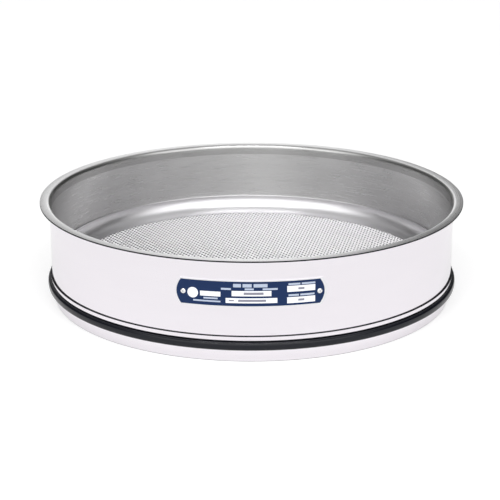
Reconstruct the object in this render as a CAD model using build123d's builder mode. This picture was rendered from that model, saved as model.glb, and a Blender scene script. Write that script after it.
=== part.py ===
"""Test sieve, 300 mm nominal: a frame soldered into a skirt, with woven wire cloth clamped between them.

Millimetres, +Z up, the skirt's underside at z = 0, the name plate on the -Y side.
"""
from build123d import *
from math import cos, degrees, floor, radians, sin, sqrt
import os

# Sheet metal, shared by the frame, the skirt and the retaining ring
sheet = 1.0
solder_gap = 0.1

# Upper frame
bore_radius = 150.0
overall_height = 74.0
rim_reach = 7.0
rim_bend = 1.4
seat_taper = 0.1

# Wire cloth, and how many of its wires one ridge of the wall stands for
wire = 0.8
opening = 1.6
cloth_lean = 10.75
woven_margin = 0.5
wires_per_ridge = 2

# Retaining ring
cove_radius = 11.6
cove_flats = 3
leg_height = 0.5

# Skirt
skirt_clearance = 0.4
skirt_depth = 15.0
neck_depth = 1.4
cup_bend = 1.0
collar_height = 3.0

# Rubber ring round the skirt
o_ring_height = 5.8
o_ring_thickness = 4.5
o_ring_corner = 1.7
o_ring_gap = 0.1

# Name plate and the welded studs that hold it
plate_length = 103.5
plate_height = 19.0
plate_end_rise = 3.4
plate_sheet = 0.5
plate_centre_height = 49.0
stud_inset = 5.5
stud_head_radius = 1.85
stud_head_height = 0.8
stud_shank_radius = 1.2
stud_clearance = 0.05

# Radii that follow
wall_radius = bore_radius + sheet
rim_radius = wall_radius + rim_reach
skirt_radius = bore_radius - skirt_clearance
neck_radius = skirt_radius - neck_depth
cup_radius = wall_radius + solder_gap
collar_radius = cup_radius + sheet
leg_radius = bore_radius - solder_gap
clear_radius = leg_radius - sheet - cove_radius
woven_radius = clear_radius + woven_margin
plate_radius = wall_radius + plate_sheet
o_ring_inner = skirt_radius + o_ring_gap
o_ring_outer = o_ring_inner + o_ring_thickness

# Levels that follow
cloth_bottom = skirt_depth + sheet
cloth_thickness = 2 * wire
cloth_top = cloth_bottom + cloth_thickness
collar_top = cloth_bottom + collar_height
ring_top = cloth_top + cove_radius + leg_height
o_ring_top = skirt_depth - o_ring_gap
o_ring_bottom = o_ring_top - o_ring_height
neck_bottom = o_ring_bottom - o_ring_gap
stud_angle = degrees((plate_length / 2 - stud_inset) / plate_radius)


def stud_plane(side):
    """Plane on the outside of the plate at one stud, facing out."""
    front = Plane(origin=(0, 0, plate_centre_height), x_dir=(1, 0, 0), z_dir=(0, -1, 0))
    return front.rotated((0, 0, side * stud_angle)).offset(plate_radius)


# Upper frame: a tube whose top is turned out into a flat rim. Its foot stands on the cloth's edge,
# and its seat below the retaining ring's top opens slightly towards that foot.
with BuildPart() as upper_frame:
    with BuildSketch(Plane.XZ):
        with BuildLine():
            Polyline(
                (wall_radius, cloth_top),
                (wall_radius, overall_height - sheet),
                (rim_radius, overall_height - sheet),
                (rim_radius, overall_height),
                (bore_radius + rim_bend, overall_height),
                (bore_radius, overall_height - rim_bend),
                (bore_radius, ring_top),
                (bore_radius + seat_taper, cloth_top),
                close=True,
            )
        make_face()
    revolve(axis=Axis.Z)
upper_frame.part.label = "upper_frame"

# Wire cloth: one wall as thick as two crossed wires, plain where it is clamped. The ridges between its
# gaps stand for the wires that run away from the plate, at their real lean.
gap_width = wires_per_ridge * opening
gap_pitch = wires_per_ridge * (wire + opening)
gap_count = floor(2 * woven_radius / gap_pitch)
gaps_across = [(gap - (gap_count - 1) / 2) * gap_pitch for gap in range(gap_count)]
with BuildPart() as wire_cloth:
    with BuildSketch(Plane.XY.offset(cloth_bottom)):
        Circle(wall_radius)
    extrude(amount=cloth_thickness)
    with BuildSketch(Plane.XY.offset(cloth_bottom).rotated((0, 0, -cloth_lean))):
        for across in gaps_across:
            with Locations((across, 0)):
                Rectangle(gap_width, 2 * sqrt(woven_radius**2 - (abs(across) + gap_width / 2) ** 2))
    extrude(amount=cloth_thickness, mode=Mode.SUBTRACT)
wire_cloth.part.label = "wire_cloth"

# Retaining ring: a leg against the bore, then a cove that sweeps in and thins to its edge on the cloth.
cove_angles = [radians(90 * flat / cove_flats) for flat in range(cove_flats + 1)]
cove_level = cloth_top + cove_radius
with BuildPart() as retaining_ring:
    with BuildSketch(Plane.XZ):
        with BuildLine():
            Polyline(
                *[(clear_radius + cove_radius * sin(a), cove_level - cove_radius * cos(a)) for a in cove_angles],
                (leg_radius - sheet, ring_top),
                (leg_radius, ring_top),
                (leg_radius, cloth_top + cove_radius / 2),
                (leg_radius - cove_radius / 2, cloth_top),
                close=True,
            )
        make_face()
    revolve(axis=Axis.Z)
retaining_ring.part.label = "retaining_ring"

# Skirt: necked for the rubber ring, then turned out and up into a cup that holds the cloth's edge
# and the frame's foot.
with BuildPart() as skirt:
    with BuildSketch(Plane.XZ):
        with BuildLine():
            Polyline(
                (skirt_radius - sheet, 0),
                (skirt_radius, 0),
                (skirt_radius, neck_bottom),
                (neck_radius, skirt_depth),
                (collar_radius - cup_bend, skirt_depth),
                (collar_radius, skirt_depth + cup_bend),
                (collar_radius, collar_top),
                (cup_radius, collar_top),
                (cup_radius, cloth_bottom),
                (neck_radius - sheet, cloth_bottom),
                (skirt_radius - sheet, neck_bottom),
                close=True,
            )
        make_face()
    revolve(axis=Axis.Z)
skirt.part.label = "skirt"

# Rubber ring: stretched on the tapered neck under the shoulder, its section a square with the outer
# corners cut off.
with BuildPart() as o_ring:
    with BuildSketch(Plane.XZ):
        with BuildLine():
            Polyline(
                (o_ring_inner, o_ring_bottom),
                (o_ring_outer - o_ring_corner, o_ring_bottom),
                (o_ring_outer, o_ring_bottom + o_ring_corner),
                (o_ring_outer, o_ring_top - o_ring_corner),
                (o_ring_outer - o_ring_corner, o_ring_top),
                (o_ring_inner - neck_depth, o_ring_top),
                close=True,
            )
        make_face()
    revolve(axis=Axis.Z)
o_ring.part.label = "o_ring"

# Name plate: a strip with arched ends, rolled to the wall.
plate_width = 2 * plate_radius * sin(plate_length / 2 / plate_radius)
plate_side = plate_width / 2 - plate_end_rise
with BuildPart() as name_plate:
    with BuildSketch(Plane.XZ.offset(plate_radius + plate_sheet)):
        with BuildLine():
            low = plate_centre_height - plate_height / 2
            high = plate_centre_height + plate_height / 2
            Line((-plate_side, low), (plate_side, low))
            ThreePointArc((plate_side, low), (plate_width / 2, plate_centre_height), (plate_side, high))
            Line((plate_side, high), (-plate_side, high))
            ThreePointArc((-plate_side, high), (-plate_width / 2, plate_centre_height), (-plate_side, low))
        make_face()
    extrude(amount=-plate_radius)
    Cylinder(plate_radius, 2 * overall_height, mode=Mode.INTERSECT)
    Cylinder(wall_radius, 2 * overall_height, mode=Mode.SUBTRACT)
    for side in (-1, 1):
        with Locations(stud_plane(side)):
            Cylinder(stud_shank_radius + stud_clearance, 4 * sheet, mode=Mode.SUBTRACT)
name_plate.part.label = "name_plate"

# Studs: welded to the wall, through the plate, with a head peened over it.
studs = {}
for name, side in (("stud_left", -1), ("stud_right", 1)):
    with BuildPart(stud_plane(side)) as stud:
        Cylinder(stud_shank_radius, plate_sheet, align=(Align.CENTER, Align.CENTER, Align.MAX))
        Cylinder(stud_head_radius, stud_head_height, align=(Align.CENTER, Align.CENTER, Align.MIN))
    stud.part.label = name
    studs[name] = stud.part

os.makedirs("parts", exist_ok=True)
for node in (upper_frame, wire_cloth, retaining_ring, skirt, o_ring, name_plate):
    export_step(node.part, f"parts/{node.part.label}.step")
for name, stud_part in studs.items():
    export_step(stud_part, f"parts/{name}.step")
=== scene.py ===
"""Looks of the test sieve: lathed steel with true bends, woven wire, a printed plate and a rubber ring."""

import math

import bpy
import numpy as np
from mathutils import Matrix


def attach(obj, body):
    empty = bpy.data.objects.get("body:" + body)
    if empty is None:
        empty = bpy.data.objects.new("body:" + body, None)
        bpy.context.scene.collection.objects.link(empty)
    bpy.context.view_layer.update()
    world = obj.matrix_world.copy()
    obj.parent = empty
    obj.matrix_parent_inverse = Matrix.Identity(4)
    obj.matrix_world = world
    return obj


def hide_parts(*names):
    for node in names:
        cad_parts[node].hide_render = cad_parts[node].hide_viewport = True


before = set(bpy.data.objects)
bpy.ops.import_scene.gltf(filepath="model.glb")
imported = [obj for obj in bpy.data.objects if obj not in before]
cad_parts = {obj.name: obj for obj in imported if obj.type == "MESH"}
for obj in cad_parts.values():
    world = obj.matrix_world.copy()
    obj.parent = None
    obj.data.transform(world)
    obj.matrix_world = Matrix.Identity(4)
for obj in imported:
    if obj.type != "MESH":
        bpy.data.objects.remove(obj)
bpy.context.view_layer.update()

MM = 0.001
BODY = "root"

# The sieve in millimetres, +Z up, its foot at 0 and its plate on the -Y side: first the driving sizes.
SHEET = 1.0
SOLDER_GAP = 0.1
BORE = 150.0
TOP = 74.0
RIM_REACH = 7.0
RIM_BEND = 3.0
SEAT_TAPER = 0.1
BAND_LOW = 66.0
WIRE = 0.8
PITCH = 2.4
LEAN = math.radians(10.75)
WOVEN = 149.2
COVE_RADIUS = 11.6
COVE_LEG = 0.5
SKIRT = 149.6
SKIRT_DEPTH = 15.0
NECK_DEPTH = 1.4
NECK_LOW = 9.0
COLLAR_HEIGHT = 3.0
CUP_BEND = 1.4
SEAL_LOW = 9.1
SEAL_HEIGHT = 5.8
SEAL_OUT = 154.2
SEAL_HALF_WIDTH = 3.0
SEAL_SQUARENESS = 0.6
SEAL_LIFT = 0.08
PLATE_LENGTH = 103.5
PLATE_HEIGHT = 19.0
PLATE_MIDDLE = 49.0
PLATE_SHEET = 0.5
PLATE_RISE = 3.4
STUD_INSET = 5.5
STUD_SHANK = 1.2
STUD_HEAD = 1.85

# Radii and levels that follow.
WALL = BORE + SHEET
RIM = WALL + RIM_REACH
NECK = SKIRT - NECK_DEPTH
CUP = WALL + SOLDER_GAP
COLLAR = CUP + SHEET
LEG = BORE - SOLDER_GAP
PLATE_OUT = WALL + PLATE_SHEET
CLOTH_LOW = SKIRT_DEPTH + SHEET
CLOTH_TOP = CLOTH_LOW + 2 * WIRE
RING_TOP = CLOTH_TOP + COVE_RADIUS + COVE_LEG
COLLAR_TOP = CLOTH_LOW + COLLAR_HEIGHT

# How finely the round pieces are cut.
LATHE_SEGMENTS = 360
SEAL_STEPS = 32
STUD_STEPS = 32
DISC_STEPS = 24
PLATE_COLUMN = 1.5
WIRE_SIDES = 4
WIRE_STEPS_PER_PITCH = 4
CLOTH_PARTS = 3


# ---------------------------------------------------------------- meshes
def new_mesh(name, points, faces, smooth_under=35.0):
    """An object from points in millimetres and faces of 3 or 4 indices."""
    mesh = bpy.data.meshes.new(name)
    mesh.from_pydata([], [], [])
    points = np.asarray(points, np.float32).reshape(-1, 3) * MM
    faces = np.asarray(faces, np.int32)
    sides = faces.shape[1]
    mesh.vertices.add(len(points))
    mesh.vertices.foreach_set("co", points.ravel())
    mesh.loops.add(faces.size)
    mesh.loops.foreach_set("vertex_index", faces.ravel())
    mesh.polygons.add(len(faces))
    mesh.polygons.foreach_set("loop_start", np.arange(len(faces), dtype=np.int32) * sides)
    mesh.update(calc_edges=True)
    mesh.validate()
    mesh.polygons.foreach_set("use_smooth", np.ones(len(faces), bool))
    if smooth_under:
        mesh.set_sharp_from_angle(angle=math.radians(smooth_under))
    made = bpy.data.objects.new(name, mesh)
    bpy.context.scene.collection.objects.link(made)
    return made


def grid_faces(rows, columns, wrap_rows, wrap_columns):
    """Quads between the points of a grid, each row after the last."""
    r = np.arange(rows if wrap_rows else rows - 1)
    c = np.arange(columns if wrap_columns else columns - 1)
    r, c = np.meshgrid(r, c, indexing="ij")
    r2, c2 = (r + 1) % rows, (c + 1) % columns
    quads = np.stack([r * columns + c, r * columns + c2, r2 * columns + c2, r2 * columns + c], axis=-1)
    return quads.reshape(-1, 4)


def bend(centre, radius, start, end, steps):
    """Points of an arc in the (radius, height) plane, angles in degrees."""
    return [
        (centre[0] + radius * math.cos(math.radians(a)), centre[1] + radius * math.sin(math.radians(a)))
        for a in np.linspace(start, end, steps)
    ]


def lathe(name, profile):
    """The closed (radius, height) profile turned about Z. It runs clockwise with radius to the right."""
    profile = np.asarray(profile, float)
    turn = np.arange(LATHE_SEGMENTS) * 2 * math.pi / LATHE_SEGMENTS - math.pi / 2
    x = np.cos(turn)[:, None] * profile[None, :, 0]
    y = np.sin(turn)[:, None] * profile[None, :, 0]
    z = np.broadcast_to(profile[None, :, 1], x.shape)
    faces = grid_faces(LATHE_SEGMENTS, len(profile), True, True)
    return new_mesh(name, np.stack([x, y, z], axis=-1), faces)


def show(piece, slot, *stands_for):
    """The piece belongs to the object and stands for these CAD nodes; the slot is not used."""
    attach(piece, BODY)
    if stands_for:
        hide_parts(*stands_for)
    return piece


# ---------------------------------------------------------------- materials
class Shader:
    """A material's node tree, with short ways to add nodes."""

    def __init__(self, name):
        self.material = bpy.data.materials.new(name)
        self.material.use_nodes = True
        self.tree = self.material.node_tree
        self.bsdf = self.tree.nodes["Principled BSDF"]

    def node(self, kind, links=None, **values):
        """A node; in_2=0.7 sets its third input, links feed its inputs, other values are its settings."""
        made = self.tree.nodes.new(kind)
        for key, value in values.items():
            if key.startswith("in_"):
                made.inputs[int(key[3:])].default_value = value
            else:
                setattr(made, key, value)
        for socket, source in (links or {}).items():
            self.tree.links.new(source, made.inputs[socket])
        return made

    def set(self, **values):
        """Values of the surface's inputs, with underscores for spaces."""
        for key, value in values.items():
            self.bsdf.inputs[key.replace("_", " ")].default_value = value

    def link(self, output, socket):
        self.tree.links.new(output, self.bsdf.inputs[socket])

    def times(self, vector, factors):
        made = self.node("ShaderNodeVectorMath", {0: vector}, operation="MULTIPLY", in_1=factors)
        return made.outputs[0]

    def noise(self, place, scale, detail):
        made = self.node("ShaderNodeTexNoise", {"Vector": place})
        made.inputs["Scale"].default_value = scale
        made.inputs["Detail"].default_value = detail
        return made.outputs["Fac"]

    def spread(self, noise, low, high):
        """The noise's usual range, 0.3 to 0.7, spread between two values."""
        made = self.node("ShaderNodeMapRange", {0: noise}, in_1=0.3, in_2=0.7, in_3=low, in_4=high)
        return made.outputs[0]

    def tint(self, colour, share):
        """The colour, scaled by a share from 0 to 1."""
        made = self.node("ShaderNodeVectorMath", {"Scale": share}, operation="SCALE", in_0=colour)
        self.link(made.outputs[0], "Base Color")


# Noise per radian round the axis, and per metre out and up: fine streaks and wide clouds.
STREAKS = (6.0, 2600.0, 2600.0)
CLOUDS = (2.2, 120.0, 120.0)
STREAK_RELIEF = 0.00002


def brushed(name, colour, rough, anisotropy, streak, bump):
    """Steel brushed round the sieve's axis: streaks that run round, in roughness, colour and relief."""
    s = Shader(name)
    s.set(Metallic=1.0, Anisotropic=anisotropy, Anisotropic_Rotation=0.25)
    where = s.node("ShaderNodeTexCoord").outputs["Object"]
    apart = s.node("ShaderNodeSeparateXYZ", {0: where})
    turn = s.node("ShaderNodeMath", {0: apart.outputs["Y"], 1: apart.outputs["X"]}, operation="ARCTAN2")
    out = s.node("ShaderNodeVectorMath", {0: s.times(where, (1.0, 1.0, 0.0))}, operation="LENGTH")
    place = s.node(
        "ShaderNodeCombineXYZ", {0: turn.outputs[0], 1: out.outputs["Value"], 2: apart.outputs["Z"]}
    ).outputs[0]
    fine = s.noise(s.times(place, STREAKS), 1.0, 3.0)
    cloud = s.noise(s.times(place, CLOUDS), 1.0, 2.0)
    both = s.node(
        "ShaderNodeMath",
        {0: s.spread(fine, 1 - streak, 1.0), 1: s.spread(cloud, 1 - streak, 1.0)},
        operation="MULTIPLY",
    )
    s.tint(colour, both.outputs[0])
    s.link(s.spread(fine, rough * 0.85, rough * 1.15), "Roughness")
    s.link(s.node("ShaderNodeTangent", direction_type="RADIAL", axis="Z").outputs[0], "Tangent")
    if bump:
        relief = s.node("ShaderNodeBump", {"Height": fine})
        relief.inputs["Strength"].default_value = bump
        relief.inputs["Distance"].default_value = STREAK_RELIEF
        s.link(relief.outputs[0], "Normal")
    return s.material


def plain(name, colour, rough, metallic=0.0, mottle=0.06, scale=900.0, shine=0.5):
    """A plain surface with a faint mottle in tone and roughness."""
    s = Shader(name)
    s.set(Metallic=metallic, Specular_IOR_Level=shine)
    noise = s.noise(s.node("ShaderNodeTexCoord").outputs["Object"], scale, 2.0)
    s.tint(colour, s.spread(noise, 1 - mottle, 1.0))
    s.link(s.spread(noise, rough * 0.9, rough * 1.1), "Roughness")
    return s.material


polished = brushed("steel_polished", (0.875, 0.84, 0.88), 0.10, 0.3, 0.01, 0.0)
satin = brushed("steel_satin", (0.73, 0.73, 0.725), 0.30, 0.75, 0.06, 0.15)
rim_steel = brushed("steel_rim", (0.92, 0.92, 0.92), 0.30, 0.9, 0.03, 0.05)
# Painted shade: the satin steel again, darker, for the top of the bore just under the rim.
bore_top_painted_shade = brushed("steel_band_shade_painted", (0.54, 0.54, 0.535), 0.30, 0.75, 0.06, 0.15)
cove_steel = brushed("steel_cove", (0.80, 0.79, 0.81), 0.34, 0.5, 0.04, 0.05)
# The two wire sets are one steel: the weft is a lit copy painted bright, and the warp a shaded copy painted
# dark, so that the warp reads as dark lines.
weft_painted_light = plain("steel_weft_light_painted", (0.99, 0.98, 0.99), 0.35, metallic=1.0)
warp_painted_shade = plain("steel_warp_shade_painted", (0.24, 0.23, 0.25), 0.4, metallic=1.0)
rubber = plain("rubber_black", (0.003, 0.004, 0.008), 0.18, mottle=0.2, scale=1500.0, shine=0.33)
bare_plate = plain("plate_bare", (0.80, 0.80, 0.82), 0.35, metallic=1.0, mottle=0.02)
navy = plain("plate_navy", (0.006, 0.022, 0.080), 0.45, scale=2500.0, shine=0.18)
white_ink = plain("plate_white", (0.86, 0.88, 0.92), 0.5, scale=2500.0)
pale_ink = plain("plate_pale", (0.42, 0.48, 0.60), 0.5, scale=2500.0)
dark_ink = plain("plate_dark", (0.22, 0.22, 0.27), 0.5, scale=2500.0)
# Painted shade: near-black for the rim's outer edge and the collar's top edge, standing in for the dark
# shade lines under the rim and at the collar seam.
edge_painted_shade = plain("steel_cut_edge", (0.015, 0.015, 0.018), 0.6, shine=0.1)
# Painted shade: darker steel on the foot's lowest half millimetre, standing in for the contact shadow where
# the sieve meets the floor.
foot_painted_shade = plain("steel_foot_edge", (0.30, 0.30, 0.31), 0.4, metallic=1.0)
stud_steel = plain("steel_stud", (0.85, 0.85, 0.86), 0.22, metallic=1.0)


def paint(piece, *materials):
    piece.data.materials.clear()
    for material in materials:
        piece.data.materials.append(material)


def mark(piece, choose):
    """Gives each face the finish that choose(radius, height) numbers, in millimetres at its middle."""
    middle = np.empty(len(piece.data.polygons) * 3, np.float32)
    piece.data.polygons.foreach_get("center", middle)
    middle = middle.reshape(-1, 3) / MM
    chosen = choose(np.hypot(middle[:, 0], middle[:, 1]), middle[:, 2])
    piece.data.polygons.foreach_set("material_index", chosen.astype(np.int32))


# ---------------------------------------------------------------- frame
LIP_BEND = 0.2
LIP_BURR = 0.05
bend_centre = (BORE + RIM_BEND, TOP - RIM_BEND)
frame_profile = (
    [(WALL, CLOTH_TOP), (BORE + SEAT_TAPER, CLOTH_TOP), (BORE, RING_TOP), (BORE, BAND_LOW)]
    + bend(bend_centre, RIM_BEND, 180, 90, 10)
    + bend((RIM - LIP_BEND, TOP - LIP_BEND), LIP_BEND, 90, 0, 4)
    + [(RIM, TOP - SHEET + LIP_BURR), (RIM - LIP_BURR, TOP - SHEET)]
    + bend(bend_centre, RIM_BEND - SHEET, 90, 180, 10)
)
upper = show(lathe("frame_shell", frame_profile), "frame_steel", "upper_frame")
OUTSIDE, INSIDE, ON_RIM, SHADED_EDGE, BAND = range(5)
paint(upper, polished, satin, rim_steel, edge_painted_shade, bore_top_painted_shade)


def frame_finish(r, z):
    """Satin in the bore with a band of painted shade on top, a brushed rim, the rim's outer edge painted
    near-black as shade and a polished outside.
    """
    from_bend = np.hypot(np.minimum(r - bend_centre[0], 0.0), np.maximum(z - bend_centre[1], 0.0))
    finish = np.where(r < BORE + 0.2 * SHEET, INSIDE, OUTSIDE)
    finish = np.where((z > TOP - RIM_BEND) & (from_bend > RIM_BEND - 0.5 * SHEET), ON_RIM, finish)
    # Painted shade: the top of the bore and the inner part of the bend take the darkened satin.
    finish = np.where((z > BAND_LOW) & (r < BORE + 0.5 * RIM_BEND), BAND, finish)
    # Painted shade: the rim's outer edge is near-black.
    return np.where((r > RIM - 0.75 * LIP_BEND) & (z < TOP - 0.1 * LIP_BEND), SHADED_EDGE, finish)


mark(upper, frame_finish)

# ---------------------------------------------------------------- retaining ring
RING_CHAMFER = 0.15
cove_profile = (
    [(LEG - COVE_RADIUS / 2, CLOTH_TOP)]
    + bend((LEG - SHEET - COVE_RADIUS, CLOTH_TOP + COVE_RADIUS), COVE_RADIUS, -90, 0, 18)
    + [
        (LEG - SHEET, RING_TOP - RING_CHAMFER),
        (LEG - SHEET + RING_CHAMFER, RING_TOP),
        (LEG - RING_CHAMFER, RING_TOP),
        (LEG, RING_TOP - RING_CHAMFER),
        (LEG, CLOTH_TOP + COVE_RADIUS / 2),
    ]
)
cove = show(lathe("cove_ring", cove_profile), "frame_steel", "retaining_ring")
paint(cove, cove_steel)

# ---------------------------------------------------------------- skirt
COLLAR_CHAMFER = 0.4
FOOT_BEND = 0.4
FOOT_BEND_INSIDE = 0.3
FOOT_SHADE = 0.5
skirt_profile = (
    [
        (NECK - SHEET, CLOTH_LOW),
        (CUP, CLOTH_LOW),
        (CUP, COLLAR_TOP),
        (COLLAR - COLLAR_CHAMFER, COLLAR_TOP),
        (COLLAR, COLLAR_TOP - COLLAR_CHAMFER),
    ]
    + bend((COLLAR - CUP_BEND, SKIRT_DEPTH + CUP_BEND), CUP_BEND, 0, -90, 8)
    + [(NECK, SKIRT_DEPTH), (SKIRT, NECK_LOW)]
    + bend((SKIRT - FOOT_BEND, FOOT_BEND), FOOT_BEND, 0, -90, 5)
    + bend((SKIRT - SHEET + FOOT_BEND_INSIDE, FOOT_BEND_INSIDE), FOOT_BEND_INSIDE, -90, -180, 4)
    + [(SKIRT - SHEET, NECK_LOW)]
)
skirt = show(lathe("skirt_cup", skirt_profile), "frame_steel", "skirt")
paint(skirt, polished, edge_painted_shade, foot_painted_shade)


def skirt_finish(r, z):
    """The collar's edge painted near-black as shade (1), a foot darkened with painted shade (2) and
    polished steel between them (0).
    """
    # Painted shade: the collar's edge near-black, the foot darkened.
    return np.where((z > COLLAR_TOP - COLLAR_CHAMFER) & (r > CUP), 1, np.where(z < FOOT_SHADE, 2, 0))


mark(skirt, skirt_finish)

# ---------------------------------------------------------------- rubber ring
seal_profile = []
for a in -np.arange(SEAL_STEPS) * 2 * math.pi / SEAL_STEPS:
    across, upright = (
        math.copysign(abs(part) ** SEAL_SQUARENESS, part) for part in (math.cos(a), math.sin(a))
    )
    height = SEAL_LOW + SEAL_HEIGHT / 2 * (1 + upright)
    neck = SKIRT + SEAL_LIFT - NECK_DEPTH * (height - SEAL_LOW) / SEAL_HEIGHT
    seal_profile.append((max(SEAL_OUT + SEAL_HALF_WIDTH * (across - 1), neck), height))
seal = show(lathe("seal_ring", seal_profile), "ring_rubber", "o_ring")
paint(seal, rubber)

# ---------------------------------------------------------------- woven cloth
WIRE_SWELL = 1.06


def wire_run(n, direction, across, first):
    """One crimped wire, number n from the middle, as rings of points; None where it would be too short."""
    aside = n * PITCH
    crossings = int(math.sqrt(max(WOVEN**2 - aside**2, 0.0)) // PITCH)
    steps = np.arange(-crossings * WIRE_STEPS_PER_PITCH, crossings * WIRE_STEPS_PER_PITCH + 1)
    if len(steps) < 2:
        return None
    run = steps * PITCH / WIRE_STEPS_PER_PITCH
    phase = math.pi * run / PITCH + math.pi * (n + first)
    level = CLOTH_LOW + WIRE + WIRE / 2 * np.cos(phase)
    slope = -WIRE / 2 * math.pi / PITCH * np.sin(phase)
    z_axis = np.array([0, 0, 1.0])
    middle = aside * across + run[:, None] * direction + z_axis * level[:, None]
    up = z_axis - slope[:, None] * direction
    up /= np.linalg.norm(up, axis=1)[:, None]
    turns = np.arange(WIRE_SIDES) * 2 * math.pi / WIRE_SIDES + math.pi / WIRE_SIDES
    ring = np.cos(turns)[None, :, None] * across + np.sin(turns)[None, :, None] * up[:, None, :]
    return middle[:, None, :] + WIRE / 2 * WIRE_SWELL * ring


def weave(name, along, part, first, material):
    """One part of the wires that run one way; wire number n starts over or under by turns."""
    direction = np.array([math.sin(along), math.cos(along), 0.0])
    across = np.array([math.cos(along), -math.sin(along), 0.0])
    count = int(WOVEN // PITCH)
    points, faces, used = [], [], 0
    for n in range(-count, count + 1):
        if (n + count) * CLOTH_PARTS // (2 * count + 1) != part:
            continue
        rings = wire_run(n, direction, across, first)
        if rings is None:
            continue
        points.append(rings.reshape(-1, 3))
        faces.append(grid_faces(len(rings), WIRE_SIDES, False, True)[:, ::-1] + used)
        used += len(rings) * WIRE_SIDES
    made = new_mesh(name, np.concatenate(points), np.concatenate(faces), smooth_under=None)
    paint(made, material)
    show(made, "cloth_steel", "wire_cloth")


for part in range(CLOTH_PARTS):
    weave(f"warp_wires_{part}", LEAN, part, 0, warp_painted_shade)
    weave(f"weft_wires_{part}", LEAN + math.pi / 2, part, 1, weft_painted_light)


# ---------------------------------------------------------------- printed plate
def heights_at(outline, u, near=1e-3):
    """Heights at which a line across the plate at u meets the outline."""
    met = []
    for (u0, v0), (u1, v1) in zip(outline, np.roll(outline, -1, axis=0)):
        if min(u0, u1) - near <= u <= max(u0, u1) + near:
            met += [v0, v1] if abs(u0 - u1) < near else [v0 + (v1 - v0) * (u - u0) / (u1 - u0)]
    return met


def wrapped(name, outline, low, high, material, *stands_for):
    """A convex outline in (along the plate, up), rolled to the wall between two heights off the plate."""
    outline = np.asarray(outline, float)
    first, last = outline[:, 0].min(), outline[:, 0].max()
    columns = max(int((last - first) / PLATE_COLUMN), 1) + 1
    edges = sorted(set(np.linspace(first, last, columns).round(4)) | set(outline[:, 0].round(4)))
    points = []
    for u in edges:
        met = heights_at(outline, u)
        turn = u / PLATE_OUT
        for lift, height in ((low, min(met)), (high, min(met)), (high, max(met)), (low, max(met))):
            radius = PLATE_OUT + lift
            points.append((radius * math.sin(turn), -radius * math.cos(turn), PLATE_MIDDLE + height))
    end = 4 * len(edges)
    caps = [(0, 1, 2, 3), (end - 1, end - 2, end - 3, end - 4)]
    made = new_mesh(name, points, np.concatenate([grid_faces(len(edges), 4, False, True)[:, ::-1], caps]))
    paint(made, material)
    show(made, "plate_metal", *stands_for)


def lens(length, height, rise, shift=0.0, steps=8):
    """A strip with arched ends."""
    chord = np.linspace(-1, 1, 2 * steps + 1)
    right = [(length / 2 - rise * c * c, height / 2 * c) for c in chord]
    return [(u + shift, v) for u, v in right + [(-u, -v) for u, v in right]]


def box(u, v, width, height):
    """A rectangle about its middle."""
    return [(u + width / 2 * a, v + height / 2 * b) for a, b in ((-1, -1), (1, -1), (1, 1), (-1, 1))]


def disc(u, v, radius):
    turns = np.arange(DISC_STEPS) * 2 * math.pi / DISC_STEPS
    return [(radius * math.cos(a) + u, radius * math.sin(a) + v) for a in turns]


# The navy field leaves the bare edge wider at its right end than at its left. A coat is INK thick.
INK = 0.02
FIELD_LENGTH, FIELD_HEIGHT, FIELD_RISE, FIELD_SHIFT = 100.8, 17.2, 3.2, -0.7
plate = lens(PLATE_LENGTH, PLATE_HEIGHT, PLATE_RISE)
field = lens(FIELD_LENGTH, FIELD_HEIGHT, FIELD_RISE, FIELD_SHIFT)
wrapped("plate_base", plate, -PLATE_SHEET, 0.0, bare_plate, "name_plate")
wrapped("plate_field", field, 0.0, INK, navy)

# Plain shapes where the photographed plate is printed: middle along and up, width and height. White
# fields and pale bars lie on the navy, dark bars on the white fields.
WHITE_BOXES = (
    (0.0, 0.3, 26.4, 3.7),
    (0.0, -4.7, 34.4, 3.5),
    (33.4, 3.0, 19.2, 4.2),
    (33.4, -5.0, 19.2, 4.2),
    (-27.6, -0.5, 13.8, 3.4),
)
PALE_BOXES = (
    (-9.6, 5.9, 5.2, 2.4),
    (-2.9, 5.9, 6.0, 2.4),
    (6.0, 5.9, 9.2, 2.4),
    (-17.0, 3.4, 6.6, 1.3),
    (-1.5, 3.4, 6.0, 1.3),
    (12.4, 3.4, 10.0, 1.3),
    (28.6, 6.3, 8.0, 1.3),
    (38.3, 6.3, 9.4, 1.3),
    (28.2, -1.5, 7.0, 1.3),
    (37.6, -1.5, 9.8, 1.3),
    (-27.4, -3.6, 9.6, 1.1),
    (-30.0, -5.7, 18.6, 1.1),
)
DARK_BOXES = (
    (1.4, 0.3, 13.2, 1.7),
    (0.4, -4.7, 18.6, 1.6),
    (-13.4, -4.7, 3.4, 1.0),
    (33.4, 3.0, 4.2, 1.5),
    (33.4, -5.0, 4.2, 1.5),
)
PRINT = (
    ("white", WHITE_BOXES, white_ink, INK),
    ("pale", PALE_BOXES, pale_ink, INK),
    ("dark", DARK_BOXES, dark_ink, 2 * INK),
)
for ink, places, material, lift in PRINT:
    for n, place in enumerate(places):
        wrapped(f"print_{ink}_{n}", box(*place), lift, lift + INK, material)
wrapped("print_disc", disc(-39.6, -0.4, 3.7), INK, 2 * INK, white_ink)

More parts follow.
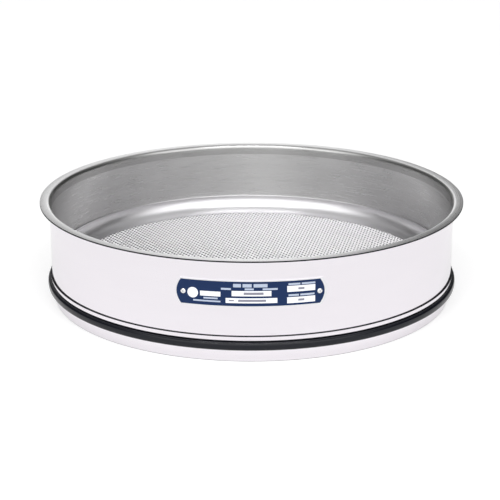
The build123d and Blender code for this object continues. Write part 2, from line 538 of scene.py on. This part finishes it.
# ---------------------------------------------------------------- studs
# Radius and height off the plate, from the shank's inner end to the top of the domed head.
STUD_PROFILE = (
    (STUD_SHANK, -PLATE_SHEET),
    (STUD_SHANK, 0.0),
    (STUD_HEAD, 0.0),
    (STUD_HEAD, 0.2),
    (1.7, 0.5),
    (1.35, 0.7),
    (0.8, 0.79),
    (0.3, 0.8),
)
for node, side in (("stud_left", -1), ("stud_right", 1)):
    turn = side * (PLATE_LENGTH / 2 - STUD_INSET) / PLATE_OUT
    out = np.array([math.sin(turn), -math.cos(turn), 0.0])
    right = np.array([math.cos(turn), math.sin(turn), 0.0])
    up = np.array([0, 0, 1.0])
    turns = np.arange(STUD_STEPS) * 2 * math.pi / STUD_STEPS
    centre = PLATE_OUT * out + PLATE_MIDDLE * up
    points = [
        centre + r * (math.cos(t) * right + math.sin(t) * up) + h * out
        for r, h in STUD_PROFILE
        for t in turns
    ]
    stud = new_mesh(f"{node}_head", points, grid_faces(len(STUD_PROFILE), STUD_STEPS, False, True))
    paint(stud, stud_steel)
    show(stud, "stud_steel", node)

# ---------------------------------------------------------------- camera
CAMERA_PLACE = (0.0, -1.0902, 0.3903)
CAMERA_TILT = math.radians(71.68)
CAMERA_LENS = 108.55
CAMERA_SHIFT = (-0.003, 0.001)

camera = bpy.data.objects.new("camera", bpy.data.cameras.new("camera"))
camera.location = CAMERA_PLACE
camera.rotation_euler = (CAMERA_TILT, 0.0, 0.0)
camera.data.lens = CAMERA_LENS
camera.data.sensor_width = 36.0
camera.data.shift_x, camera.data.shift_y = CAMERA_SHIFT
scene = bpy.context.scene
scene.collection.objects.link(camera)
scene.camera = camera
scene.view_settings.view_transform = "Standard"
scene.view_settings.look = "None"

# ---------------------------------------------------------------- floor
# The floor glows a little, and more to the camera, so that it is as white as the photograph's.
FLOOR_SIZE = 12.0
FLOOR_COLOUR = (0.5, 0.5, 0.5, 1.0)
FLOOR_GLOW = 0.50
FLOOR_GLOW_SEEN = 0.62

bpy.ops.mesh.primitive_plane_add(size=FLOOR_SIZE, location=(0, 0, 0))
floor = bpy.context.object
floor.name = "floor"
floor_shader = Shader("floor_white")
floor_shader.set(Base_Color=FLOOR_COLOUR, Roughness=1.0, Specular_IOR_Level=0.0)
floor_shader.set(Emission_Color=(1.0, 1.0, 1.0, 1.0))
seen = floor_shader.node("ShaderNodeLightPath").outputs["Is Camera Ray"]
glow = floor_shader.node("ShaderNodeMapRange", {0: seen}, in_3=FLOOR_GLOW, in_4=FLOOR_GLOW_SEEN)
floor_shader.link(glow.outputs[0], "Emission Strength")
floor.data.materials.append(floor_shader.material)

# ---------------------------------------------------------------- key light
# A long narrow lamp across the sieve, high in front of it.
KEY_PLACE = (0.0, -0.75, 1.5)
KEY_AIM = (0.0, 0.0, 0.03)
KEY_WIDTH, KEY_DEPTH = 1.3, 0.06
KEY_POWER = 8.0

lamp = bpy.data.lights.new("key", "AREA")
lamp.shape = "RECTANGLE"
lamp.size, lamp.size_y, lamp.energy = KEY_WIDTH, KEY_DEPTH, KEY_POWER
key = bpy.data.objects.new("key", lamp)
key.location = KEY_PLACE
way = np.array(KEY_AIM) - np.array(KEY_PLACE)
key.rotation_euler = (
    math.acos(-way[2] / np.linalg.norm(way)),
    0.0,
    math.atan2(way[1], way[0]) - math.pi / 2,
)
key.visible_camera = False
scene.collection.objects.link(key)

# ---------------------------------------------------------------- studio
# What the steel reflects: a bright front and back, dark sides, a grey ceiling that comes lower behind,
# and a dark panel to either side of the back wall's middle. The camera itself sees white.
FRONT_TONE, BACK_TONE, SIDE_TONE, CEILING_TONE = 1.8, 1.15, 0.08, 0.40
PANEL_TONE_RIGHT, PANEL_TONE_LEFT, PANEL_TONE_FAR = 0.12, 0.27, 0.3

world = bpy.data.worlds.new("studio")
scene.world = world
world.use_nodes = True
sky = world.node_tree
sky.nodes.clear()


def sky_node(kind):
    return sky.nodes.new(f"ShaderNode{kind}")


def sky_math(operation, *values):
    made = sky_node("Math")
    made.operation = operation
    for socket, value in zip(made.inputs, values):
        if isinstance(value, float):
            socket.default_value = value
        else:
            sky.links.new(value, socket)
    return made.outputs[0]


def sky_step(value, start, end, low, high):
    """A smooth change from low to high while the value goes from start to end."""
    made = sky_node("MapRange")
    made.interpolation_type = "SMOOTHSTEP"
    sky.links.new(value, made.inputs[0])
    for socket, number in enumerate((start, end, low, high), 1):
        made.inputs[socket].default_value = number
    return made.outputs[0]


def sky_blend(first, second, share):
    """The first value, changed into the second by a share from 0 to 1."""
    return sky_math("ADD", first, sky_math("MULTIPLY", sky_math("SUBTRACT", second, first), share))


toward = sky_node("SeparateXYZ")
sky.links.new(sky_node("TexCoord").outputs["Generated"], toward.inputs[0])
to_right, to_back, upward = (toward.outputs[axis] for axis in "XYZ")
aside = sky_math("ABSOLUTE", to_right)
behind = sky_step(to_back, -0.2, 0.2, 0.0, 1.0)
panel_right = sky_step(to_right, 0.02, 0.14, 1.0, PANEL_TONE_RIGHT)
panel_left = sky_step(to_right, -0.24, -0.04, PANEL_TONE_LEFT, 1.0)
panels = sky_math("MULTIPLY", panel_right, panel_left)
panels = sky_math("MULTIPLY", panels, sky_step(aside, 0.25, 0.5, 1.0, PANEL_TONE_FAR))
open_front = sky_step(aside, 0.70, 0.97, 1.0, SIDE_TONE)
walls = sky_math(
    "MULTIPLY", sky_blend(open_front, panels, behind), sky_step(to_back, -0.35, 0.1, FRONT_TONE, BACK_TONE)
)
ceiling_ahead = sky_step(upward, 0.74, 0.88, 0.0, 1.0)
ceiling_behind = sky_step(upward, 0.52, 0.68, 0.0, 1.0)
ceiling = sky_blend(ceiling_ahead, ceiling_behind, behind)
lifted = sky_math("MULTIPLY", sky_math("SUBTRACT", CEILING_TONE, walls), ceiling)

room = sky_node("Background")
room.inputs["Strength"].default_value = 1.0
sky.links.new(sky_math("ADD", walls, lifted), room.inputs["Color"])
white = sky_node("Background")
white.inputs["Color"].default_value = (1, 1, 1, 1)
white.inputs["Strength"].default_value = 1.0
mix = sky_node("MixShader")
sky.links.new(sky_node("LightPath").outputs["Is Camera Ray"], mix.inputs[0])
sky.links.new(room.outputs[0], mix.inputs[1])
sky.links.new(white.outputs[0], mix.inputs[2])
sky.links.new(mix.outputs[0], sky_node("OutputWorld").inputs["Surface"])
